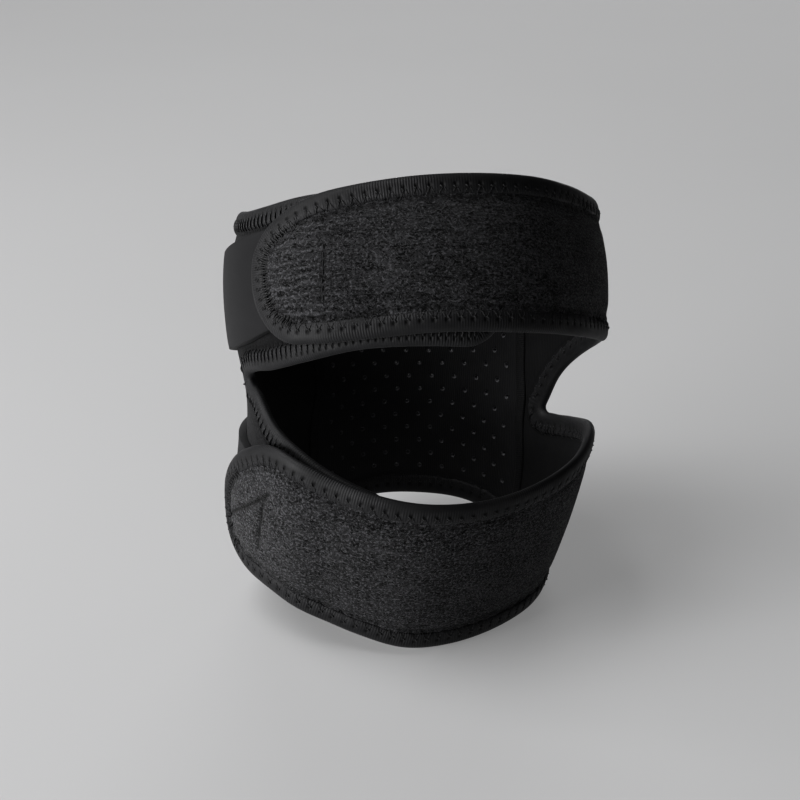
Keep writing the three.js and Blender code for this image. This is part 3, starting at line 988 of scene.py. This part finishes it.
def wrapped(bm, slant, edge, seam, brushed=False):
    """Gives flat cloth its thickness and wraps it round the leg, pressed in beside its tape and seam."""
    reach_mm = bm.verts.layers.float.new("reach_mm")
    stitch_phase = bm.verts.layers.float.new("stitch_phase")
    sewn_line = bm.verts.layers.float.new("sewn")
    outer = doubled(bm)
    for face in bm.faces:
        face.material_index = 0 if all(vert in outer for vert in face.verts) else 1
    tree = edge.tree()
    stitches = round(edge.length / edge.stitch.pitch)
    for vert in bm.verts:
        column, climb, lift = vert.co
        angle = slant(column, climb)
        from_seam = round_leg(abs(column - seam), SEAM_RADIUS)
        _, stop, distance = tree.find(leg_point(angle, climb, lift))
        reach = distance / MM
        vert[reach_mm] = reach
        vert[stitch_phase] = stop / (len(edge.stops) - 1) * stitches
        if brushed and lift > OVER_WING:
            vert[sewn_line] = sewn_depth(angle, climb)
        free = smoothstep(WAVES_START, WAVES_FULL, reach) * smoothstep(0, SEAM_WIDTH, from_seam)
        press = max(pressed(reach), seam_pressed(from_seam))
        if vert in outer:
            offset = CLOTH - press + wave(angle, climb, OUTER_SEED) * free - vert[sewn_line]
            if brushed:
                offset += tuft(angle, climb, reach)
        else:
            offset = press * INNER_PRESS + wave(angle, climb, INNER_SEED) * INNER_WAVES * free
        vert.co = leg_point(angle, climb, lift + offset)
    bmesh.ops.recalc_face_normals(bm, faces=bm.faces)


def strip(bm, edge, skin, unease):
    """A strip carried along an edge: its skin is a row of reaches and offsets, its outside out."""
    reach_mm = bm.verts.layers.float.new("reach_mm")
    stitch_phase = bm.verts.layers.float.new("stitch_phase")
    uv = bm.loops.layers.uv.new("cloth")
    last = len(edge.stops) - 1
    stitches = round(edge.length / edge.stitch.pitch)
    walked = [0.0]
    for a, b in zip(skin, skin[1:]):
        walked.append(walked[-1] + math.dist(a, b))
    bmesh.ops.create_grid(bm, x_segments=last, y_segments=len(skin) - 1, size=0.5)
    bmesh.ops.reverse_faces(bm, faces=bm.faces)
    for vert in bm.verts:
        vert.co.x = round((vert.co.x + 0.5) * last)
        vert.co.y = round((vert.co.y + 0.5) * (len(skin) - 1))
    for face in bm.faces:
        for loop in face.loops:
            loop[uv].uv = (loop.vert.co.x * edge.spacing * MM, walked[round(loop.vert.co.y)] * MM)
    for vert in bm.verts:
        stop = round(vert.co.x)
        row = round(vert.co.y)
        reach, offset = skin[row]
        vert[reach_mm] = reach
        vert[stitch_phase] = stop / last * stitches
        reach, offset = unease(stop * edge.spacing, vert[stitch_phase], row, reach, offset)
        vert.co = edge.at(stop, reach, offset)


def with_wall(piece, thickness):
    wall = piece.modifiers.new("wall", "SOLIDIFY")
    wall.thickness = thickness * MM
    wall.offset = -1
    return piece


def drifting(along, side, grain, height, seed):
    """Unevenness of that grain and height along one side of a tape."""
    return noise.noise(Vector((along / grain, side, seed))) * height


def tape_unease(along, phase, row, reach, offset):
    """Tape swells and puckers between its stitches, and its border wanders a little."""
    side = -1 if row > FOLD_ROW else 1
    pucker = math.cos(2 * math.pi * phase) * PUCKER * smoothstep(1, 5, reach)
    drift = drifting(along, side, grain=8, height=0.3, seed=7)
    drift += drifting(along, side, grain=1.9, height=0.5, seed=31)
    swell = drifting(along, side, grain=15, height=0.16, seed=19) * smoothstep(0, 2, reach)
    return reach + drift * smoothstep(4, 5.5, reach), offset + side * (swell - pucker)


def tape_piece(edge, name, node, material=TAPE):
    """Tape folded over a cut edge."""
    bm = bmesh.new()
    strip(bm, edge, TAPE_SKIN, tape_unease)
    return with_wall(finished(bm, name, [material], [node]), TAPE_WALL)


def seam_strip_piece(edge, name):
    """Strip sewn over a back seam's inner face."""
    bm = bmesh.new()
    strip(bm, edge, SEAM_STRIP, lambda along, phase, row, reach, offset: (reach, offset))
    return with_wall(finished(bm, name, [LINING]), TAPE_WALL)


def uneven(seed, place, size):
    """A small unevenness of hand-guided sewing."""
    return noise.noise(Vector((place * 3.7, seed * 11.3, 2.5))) * size


def strand(bm, points, normals, thread):
    """One stitch: a thread through its points that comes out of the cloth and goes back in."""
    last = len(points) - 1
    made = bmesh.ops.create_grid(bm, x_segments=last, y_segments=THREAD_SIDES, size=0.5, calc_uvs=True)
    for vert in made["verts"]:
        k = round((vert.co.x + 0.5) * last)
        turn = 2 * math.pi * (vert.co.y + 0.5)
        forward = points[min(k + 1, last)] - points[max(k - 1, 0)]
        across = normals[k].cross(forward).normalized()
        thick = 0 if k in (0, last) else thread * MM
        vert.co = points[k] + (across * math.cos(turn) + normals[k] * math.sin(turn)) * thick


def edge_strand(bm, edge, stitch, start, end, outer, seen):
    """A stitch on one face, between two places beside an edge that are given as along and reach."""
    points = []
    normals = []
    side = 1 if outer else -1
    for share in STATIONS:
        along = lerp(start[0], end[0], share)
        reach = lerp(start[1], end[1], share)
        offset = seen(reach, outer) + side * (stitch.arch * math.sin(math.pi * share) - STITCH_SUNK)
        point = edge.point(along, reach, offset)
        points.append(point)
        normals.append((edge.point(along, reach, offset + side) - point).normalized())
    strand(bm, points, normals, stitch.thread)


def sew_along(bm, edge, stitch, seen, sides=(True, False), returns=True, first=0, last=1):
    """A row of slanting stitches along a stretch of an edge, with returning ones for a zigzag."""
    count = round(edge.length / stitch.pitch)
    pitch = edge.length / count

    def outer_hole(k):
        return k * pitch + uneven(1, k, OUTER_UNEVEN), stitch.outer + uneven(2, k, UNEVEN)

    def inner_hole(k):
        return (k + stitch.slant) * pitch + uneven(3, k, UNEVEN), stitch.inner + uneven(4, k, UNEVEN)

    for k in range(round(first * count), round(last * count)):
        for outer in sides:
            edge_strand(bm, edge, stitch, outer_hole(k), inner_hole(k), outer, seen)
            if returns:
                edge_strand(bm, edge, stitch, inner_hole(k), outer_hole(k + 1), outer, seen)


def seam_face(reach, outer):
    """Offset of what shows at a back seam: the cloth outside, the strip inside."""
    return CLOTH - SEAM_PRESSED if outer else STRIP_SEWN_AT


def strap_face(reach, outer):
    """Offset of a strap's pile where a running line is sewn."""
    return CLOTH - LINE_SUNK


def stitching_piece(name, sew):
    bm = bmesh.new()
    bm.loops.layers.uv.new("cloth")
    sew(bm)
    bmesh.ops.remove_doubles(bm, verts=bm.verts, dist=1e-7)
    bmesh.ops.recalc_face_normals(bm, faces=bm.faces)
    return finished(bm, name, [SEWING])


def forked_panel(upper, lower, root):
    """Flat cloth of two arms from one root, and the columns of each."""
    upper_columns = forked_columns(upper, root)
    lower_columns = forked_columns(lower, root)
    bm = bmesh.new()
    arm_grid(bm, upper, upper_columns)
    arm_grid(bm, lower, lower_columns)
    bmesh.ops.remove_doubles(bm, verts=bm.verts, dist=1e-3)
    return bm, upper_columns, lower_columns


# Strap panel: two long straps from one root at the right back seam, and its tape and stitching
upper_strap = Arm(UPPER_STRAP, UPPER_STRAP_ENDS, strap_slant, STRAP_CROTCH, 0)
lower_strap = Arm(LOWER_STRAP, LOWER_STRAP_ENDS, strap_slant, STRAP_CROTCH, 1)
strap_flat, upper_columns, lower_columns = forked_panel(upper_strap, lower_strap, RIGHT_SEAM)
strap_edge = BoundEdge(
    arm_stops(upper_strap, upper_columns, 1)[::-1]
    + arm_stops(upper_strap, free_columns(upper_strap, upper_columns), 0)
    + arm_stops(lower_strap, free_columns(lower_strap, lower_columns), 1)[-2::-1]
    + arm_stops(lower_strap, lower_columns, 0),
    ZIGZAG,
)
wrapped(strap_flat, strap_slant, strap_edge, RIGHT_SEAM, brushed=True)
strap_cloth = finished(strap_flat, "strap_cloth", [PILE, LINING], ["strap_panel"])
strap_tape = tape_piece(strap_edge, "strap_tape", "strap_binding")


def is_tacked(stop):
    return TACKS_FROM < stop.angle < TACKS_TO and LOWEST_TACK < stop.climb < STRAP_CROTCH.climb


def sew_straps(bm):
    sew_along(bm, strap_edge, ZIGZAG, face_offset)
    sew_along(bm, strap_edge, KNOT, face_offset, returns=False)
    stretches = [
        (TIP_ZIGZAG, True, lambda stop: stop.angle < UPPER_TIP_FROM and stop.climb > BETWEEN_STRAPS),
        (TIP_ZIGZAG, True, lambda stop: stop.angle < LOWER_TIP_FROM),
        (BAR_TACK, False, is_tacked),
    ]
    last = len(strap_edge.stops) - 1
    for stitch, outer, on_it in stretches:
        there = [k / last for k, stop in enumerate(strap_edge.stops) if on_it(stop)]
        sew_along(bm, strap_edge, stitch, face_offset, (outer,), outer, there[0], there[-1])
    stops = [Stop(angle, climb, OVER_BAND, 0) for angle, climb in UPPER_SEWN_LINE]
    sew_along(bm, BoundEdge(stops, RUNNING), RUNNING, strap_face, sides=(True,), returns=False)


strap_stitching = stitching_piece("strap_stitching", sew_straps)

# Wing panel: two short wings from one root at the left back seam
upper_wing = Arm(UPPER_WING, UPPER_WING_ENDS, no_slant, WING_FORK, 0)
lower_wing = Arm(LOWER_WING, LOWER_WING_ENDS, no_slant, WING_FORK, 1)
wing_flat, upper_columns, lower_columns = forked_panel(upper_wing, lower_wing, LEFT_SEAM)
wing_edge = BoundEdge(
    arm_stops(lower_wing, lower_columns, 0)
    + arm_stops(lower_wing, free_columns(lower_wing, lower_columns), 1)[::-1]
    + arm_stops(upper_wing, free_columns(upper_wing, upper_columns), 0)[1:]
    + arm_stops(upper_wing, upper_columns, 1)[::-1],
    OVERCAST,
)
wrapped(wing_flat, no_slant, wing_edge, LEFT_SEAM)
wing_cloth = finished(wing_flat, "wing_cloth", [WING, LINING], ["wing_panel"])
wing_tape = tape_piece(wing_edge, "wing_tape", "wing_binding", WING_TAPE)


def sew_wings(bm):
    sew_along(bm, wing_edge, OVERCAST, face_offset, returns=False)


wing_stitching = stitching_piece("wing_stitching", sew_wings)


# Fastening bands on the wings
def band_piece(table, ends, name, node):
    """A band on a wing, with rounded rims."""
    band = Arm(table, ends)
    bm = bmesh.new()
    columns = band_columns(band)
    arm_grid(bm, band, columns)
    outer = doubled(bm)
    for vert in bm.verts:
        column, climb, lift = vert.co
        offset = BAND + wave(column, climb, BAND_SEED) * BAND_WAVES if vert in outer else -BAND_SUNK
        vert.co = leg_point(column, climb, lift + offset)
    rim = [edge for edge in bm.edges if edge.is_manifold and edge.calc_face_angle() > RIM_ANGLE]
    bmesh.ops.recalc_face_normals(bm, faces=bm.faces)
    bmesh.ops.bevel(
        bm,
        geom=rim,
        offset=BAND_ROUNDING * MM,
        segments=3,
        profile=0.5,
        affect="EDGES",
        material=-1,
        clamp_overlap=True,
    )
    return finished(bm, name, [BAND_KNIT], [node])


upper_band = band_piece(UPPER_BAND, UPPER_BAND_ENDS, "upper_band_cloth", "fastening_band_upper")
lower_band = band_piece(LOWER_BAND, LOWER_BAND_ENDS, "lower_band_cloth", "fastening_band_lower")

# Back panel
back_edges = SmoothTable(BACK)


def back_angle(share, climb):
    return lerp(ring_at(climb)[4], LEFT_SEAM + 360, share)


def back_climb(distance):
    """The climb that lies a distance up the middle of the back panel from its lower edge."""
    climb = back_edges(0.5)[0]
    walked = 0.0
    while walked < distance:
        walked += (leg_point(180, climb + SMALL_STEP, 0) - leg_point(180, climb, 0)).length / MM
        climb += SMALL_STEP
    return climb


def back_stops(edge):
    """Stops along the back panel's lower edge, 0, or upper edge, 1, from right to left."""
    shares = [k / BACK_STEPS for k in range(BACK_STEPS + 1)]
    return [Stop(back_angle(s, back_edges(s)[edge]), back_edges(s)[edge], 0, 0) for s in shares]


def back_width(climb):
    """The back panel's width round the leg."""
    chord = leg_point(back_angle(1, climb), climb, 0) - leg_point(back_angle(0, climb), climb, 0)
    span = math.radians(back_angle(1, climb) - back_angle(0, climb))
    return chord.length / MM * span / (2 * math.sin(span / 2))


def perforated_back():
    """The back panel laid flat in cells, as share across, climb and 0 or 1 through it."""
    cells = 2 * HOLES_IN_LONG_ROW - 1
    lines = [(k - cells / 2) * HOLE_PITCH / 2 for k in range(cells + 1)]
    climbs = [back_climb(HOLE_FIRST_ROW + (k - 0.5) * HOLE_ROW_PITCH) for k in range(HOLE_ROWS + 1)]
    columns = len(lines) + 1
    rows = HOLE_ROWS + 2 * BACK_BORDER
    bm = bmesh.new()
    bmesh.ops.create_grid(bm, x_segments=columns, y_segments=rows, size=0.5)
    holes = []
    for face in bm.faces:
        middle = face.calc_center_median()
        column = int((middle.x + 0.5) * columns) - 1
        row = int((middle.y + 0.5) * rows) - BACK_BORDER
        if 0 <= row < HOLE_ROWS and 0 <= column < cells and column % 2 == row % 2:
            holes.append(face)
    for vert in bm.verts:
        column = round((vert.co.x + 0.5) * columns)
        row = round((vert.co.y + 0.5) * rows) - BACK_BORDER
        climb = climbs[min(max(row, 0), HOLE_ROWS)]
        share = column / columns
        if 0 < column < columns:
            share = 0.5 + lines[column - 1] / back_width(climb)
        low, high = back_edges(share)
        if row < 0:
            climb = lerp(climb, low, -row / BACK_BORDER)
        if row > HOLE_ROWS:
            climb = lerp(climb, high, (row - HOLE_ROWS) / BACK_BORDER)
        vert.co = (share, climb, 0)
    # A slight inset gives each hole a ring of its own, which is then drawn in to the hole's corners
    bmesh.ops.inset_individual(bm, faces=holes, thickness=0.0001)
    keep = Vector((4 * HOLE_CORNER / HOLE_PITCH, 2 * HOLE_CORNER / HOLE_ROW_PITCH, 1))
    middles = {}
    for face in holes:
        middle = face.calc_center_median()
        for vert in face.verts:
            vert.co = middle + (vert.co - middle) * keep
            middles[tuple(vert.co.xy)] = middle
    bmesh.ops.delete(bm, geom=holes, context="FACES_ONLY")
    made = bmesh.ops.extrude_face_region(bm, geom=bm.faces[:])["geom"]
    outer = [part for part in made if isinstance(part, bmesh.types.BMVert)]
    bmesh.ops.translate(bm, vec=(0, 0, 1), verts=outer)
    through = [edge for edge in bm.edges if edge.verts[0].co.xy == edge.verts[1].co.xy]
    punched = [edge for edge in through if tuple(edge.verts[0].co.xy) in middles]
    cut = bmesh.ops.subdivide_edges(bm, edges=punched, cuts=2)["geom_inner"]
    for vert in {part for part in cut if isinstance(part, bmesh.types.BMVert)}:
        vert.co.xy = middles[tuple(vert.co.xy)].xy.lerp(vert.co.xy, HOLE_WAIST)
    return bm


def is_wall(face):
    return len({vert.co.z for vert in face.verts}) > 1


def back_piece(edges):
    """The back panel with crisp round holes, pressed in beside its bound edges and seams."""
    bm = perforated_back()
    reach_mm = bm.verts.layers.float.new("reach_mm")
    crease = bm.edges.layers.float.new("crease_edge")
    uv = bm.loops.layers.uv.new("cloth")
    trees = [edge.tree() for edge in edges]
    for edge in bm.edges:
        edge[crease] = float(len({is_wall(face) for face in edge.link_faces}) > 1)
    for face in bm.faces:
        face.material_index = int(is_wall(face))
        for loop in face.loops:
            share, climb, _ = loop.vert.co
            loop[uv].uv = (-share * BACK_FLAT_WIDTH * MM, climb * MM)
    for vert in bm.verts:
        share, climb, through = vert.co
        angle = back_angle(share, climb)
        point = leg_point(angle, climb, 0)
        reach = min(tree.find(point)[2] for tree in trees) / MM
        from_seam = min(share, 1 - share) * back_width(climb)
        press = max(pressed(reach), seam_pressed(from_seam))
        vert[reach_mm] = reach
        vert.co = leg_point(angle, climb, lerp(press * INNER_PRESS, CLOTH - press, through))
    bmesh.ops.recalc_face_normals(bm, faces=bm.faces)
    piece = finished(bm, "back_cloth", [BACK_KNIT, CUT_FOAM], ["back_panel"])
    smooth = piece.modifiers.new("round_holes", "SUBSURF")
    smooth.levels = 2
    smooth.render_levels = 2
    return piece


bottom_edge = BoundEdge(back_stops(0), ZIGZAG)
top_edge = BoundEdge(back_stops(1)[::-1], ZIGZAG)
back_cloth = back_piece([bottom_edge, top_edge])
bottom_tape = tape_piece(bottom_edge, "back_bottom_tape", "back_binding_bottom")
top_tape = tape_piece(top_edge, "back_top_tape", "back_binding_top")


# Back seams, each with a strip and flatlock stitching
def seam_stops(share):
    low, high = back_edges(share)
    shares = [k / BACK_STEPS for k in range(BACK_STEPS + 1)]
    climbs = [lerp(low + SEAM_MARGIN, high - SEAM_MARGIN, up) for up in shares]
    return [Stop(back_angle(share, climb), climb, 0, 0) for climb in climbs]


right_seam = BoundEdge(seam_stops(0), FLATLOCK)
left_seam = BoundEdge(seam_stops(1)[::-1], FLATLOCK)
right_strip = seam_strip_piece(right_seam, "right_seam_strip")
left_strip = seam_strip_piece(left_seam, "left_seam_strip")


def sew_back(bm):
    for edge in (bottom_edge, top_edge):
        sew_along(bm, edge, ZIGZAG, face_offset)
    for edge in (right_seam, left_seam):
        sew_along(bm, edge, FLATLOCK, seam_face, sides=(True,))
        sew_along(bm, edge, TOPSTITCH, seam_face, sides=(False,), returns=False)


back_stitching = stitching_piece("back_stitching", sew_back)

# Floor, light and camera
FLOOR_SIZE = 4
floor_mesh = bmesh.new()
bmesh.ops.create_grid(floor_mesh, x_segments=1, y_segments=1, size=FLOOR_SIZE)
floor_data = bpy.data.meshes.new("floor")
floor_mesh.to_mesh(floor_data)
floor_mesh.free()
floor_data.materials.append(pale_floor())
floor = bpy.data.objects.new("floor", floor_data)
bpy.context.scene.collection.objects.link(floor)


def soft_light(name, place, aim, size, watts, spread=180, glossy=True):
    """A broad lamp. One that isn't glossy lights the cloth without a gleam along its edges."""
    data = bpy.data.lights.new(name, "AREA")
    data.shape = "RECTANGLE"
    data.size, data.size_y = size
    data.energy = watts
    data.spread = math.radians(spread)
    lamp = bpy.data.objects.new(name, data)
    lamp.location = place
    lamp.rotation_euler = (Vector(aim) - Vector(place)).to_track_quat("-Z", "Y").to_euler()
    lamp.visible_camera = False
    lamp.visible_glossy = glossy
    bpy.context.scene.collection.objects.link(lamp)


soft_light("key_left", (-1.15, -0.66, 0.28), (0, 0, 0.08), (0.8, 0.5), 13.5)
soft_light("top_left", (-0.6, 0.05, 1), (0, 0, 0.05), (0.8, 0.8), 6)
soft_light("fill_front", (0.2, -1, 0.5), (0, 0, 0.06), (0.25, 0.25), 0.2)
soft_light("back", (0.1, 2.2, 0.2), (0, 0, 0.11), (1.2, 0.3), 4.4, 50, glossy=False)
soft_light("rim_right", (0.65, 0.95, 0.4), (0, 0, 0.08), (0.3, 0.6), 0.4, glossy=False)

world = bpy.context.scene.world or bpy.data.worlds.new("studio")
bpy.context.scene.world = world
world.use_nodes = True
backdrop = world.node_tree.nodes["Background"]
backdrop.inputs["Color"].default_value = (0.8, 0.8, 0.82, 1)
backdrop.inputs["Strength"].default_value = 0.045
bpy.context.scene.view_settings.view_transform = "Standard"
bpy.context.scene.view_settings.look = "High Contrast"

AIM = Vector((-0.00514, -0.00281, 0.061))
ELEVATION = math.radians(23)
DISTANCE = 0.7
LENS = 96.3
SENSOR = 36
camera_data = bpy.data.cameras.new("camera")
camera_data.lens = LENS
camera_data.sensor_width = SENSOR
camera = bpy.data.objects.new("camera", camera_data)
camera.location = AIM + Vector((0, -math.cos(ELEVATION), math.sin(ELEVATION))) * DISTANCE
camera.rotation_euler = (math.pi / 2 - ELEVATION, 0, 0)
bpy.context.scene.collection.objects.link(camera)
bpy.context.scene.camera = camera
